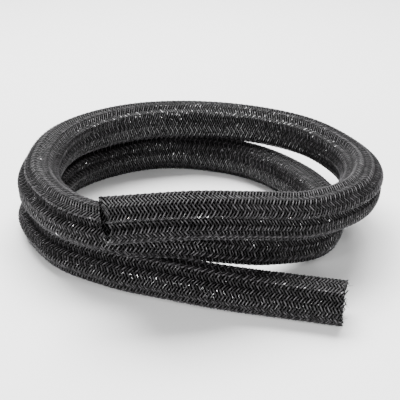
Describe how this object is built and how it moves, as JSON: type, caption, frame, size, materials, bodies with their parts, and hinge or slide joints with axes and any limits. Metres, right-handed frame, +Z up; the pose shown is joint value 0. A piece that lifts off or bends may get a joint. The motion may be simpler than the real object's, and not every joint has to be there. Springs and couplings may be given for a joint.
{
  "type": "braided cable sleeve",
  "caption": "Coiled length of black split braided sleeve whose edges lap over each other, for wrapping and protecting a bundle of cables.",
  "frame": {"origin": "on the floor, under the middle of the coil's bounding box", "axes": "+Z up, -Y towards the side where both cut ends lie, +X to the right of a person who looks along +Y"},
  "size_m": [0.2645, 0.2724, 0.0802],
  "materials": {
    "braid": "black polyester filament braid, satin sheen"
  },
  "bodies": {
    "root": {"braided_sleeve": "braid"}
  },
  "joints": []
}
